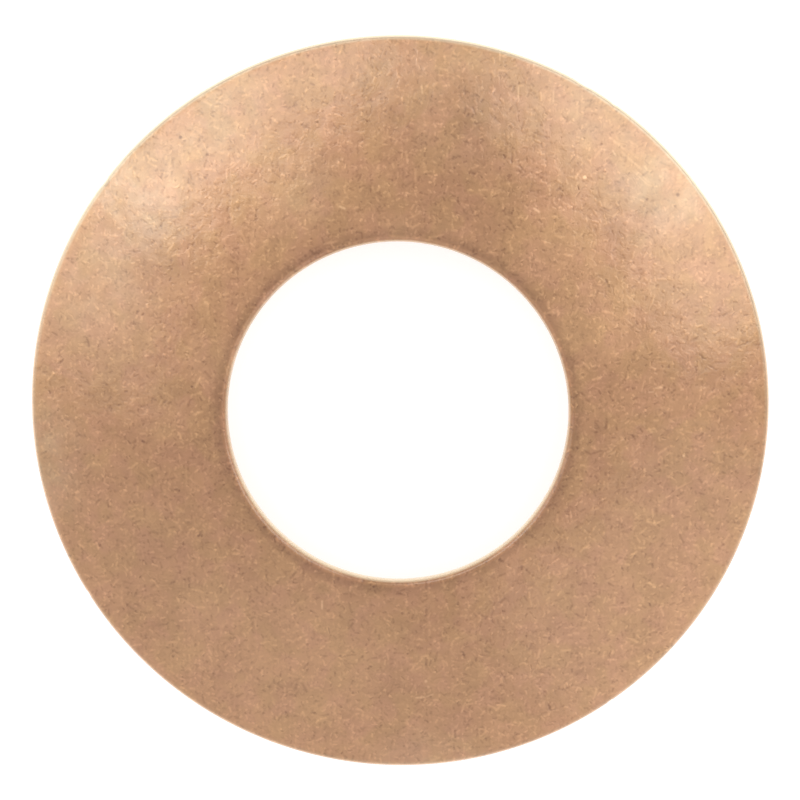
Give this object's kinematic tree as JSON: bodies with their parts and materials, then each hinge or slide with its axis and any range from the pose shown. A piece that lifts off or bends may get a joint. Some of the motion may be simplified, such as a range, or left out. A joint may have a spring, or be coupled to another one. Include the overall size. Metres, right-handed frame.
{
  "type": "thrust washer",
  "caption": "Domed bronze thrust washer: a thin spherical ring with a central bore, rounded edges and a tumbled matt finish.",
  "frame": {"origin": "on the washer's axis, in the plane that the rim of the concave side rests on", "axes": "+Z along the axis towards the convex face; X and Y are any two directions across it, because the washer is round"},
  "size_m": [0.0486, 0.0486, 0.0053],
  "materials": {
    "bronze": "tumbled matt bronze with fine random scratches"
  },
  "bodies": {
    "root": {"thrust_washer": "bronze"}
  },
  "joints": []
}
